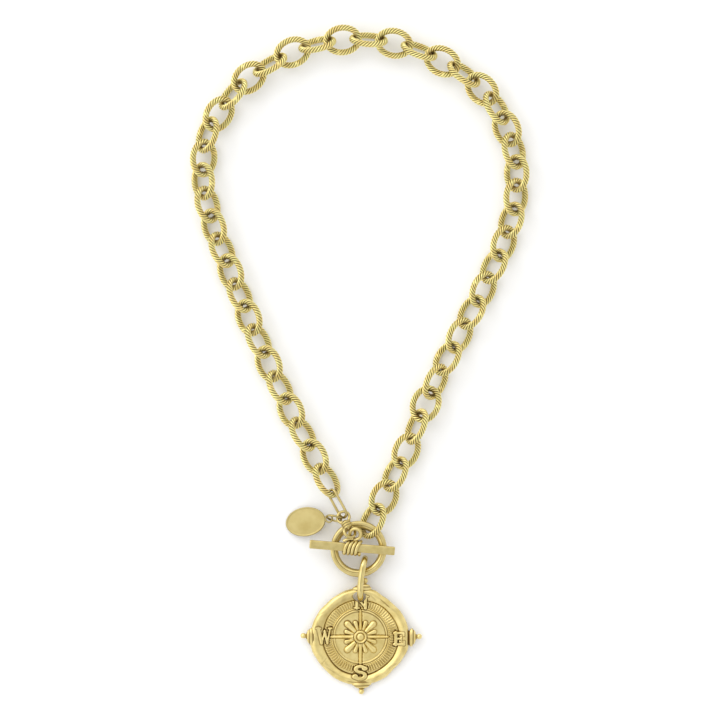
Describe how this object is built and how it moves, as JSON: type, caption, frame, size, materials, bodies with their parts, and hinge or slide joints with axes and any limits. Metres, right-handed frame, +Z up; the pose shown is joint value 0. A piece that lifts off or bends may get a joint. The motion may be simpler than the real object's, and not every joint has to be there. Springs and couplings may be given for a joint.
{
  "type": "compass pendant necklace",
  "caption": "Gold compass pendant with raised rim, compass rose and finials, hung by an oval bail from a toggle-clasp necklace of rope-textured oval links, laid flat.",
  "frame": {"origin": "middle of the whole necklace's outline, on the surface that it lies on", "axes": "+Z up from that surface, +Y from the pendant to the top of the chain, +X to the right in the picture"},
  "size_m": [0.1206, 0.2386, 0.0102],
  "materials": {
    "cast_gold": "satin cast, pale gold plate",
    "polished_gold": "soft polish, pale gold plate",
    "satin_gold": "brushed satin, pale gold plate",
    "rope_gold": "satin rope-textured wire, pale gold plate"
  },
  "bodies": {
    "root": {"compass_pendant": "cast_gold", "bail_ring": "polished_gold", "toggle_ring": "satin_gold", "toggle_bar": "satin_gold", "connector": "polished_gold", "thin_link": "polished_gold", "cable_chain": "rope_gold", "oval_tag": "satin_gold", "tag_ring": "polished_gold"}
  },
  "joints": []
}
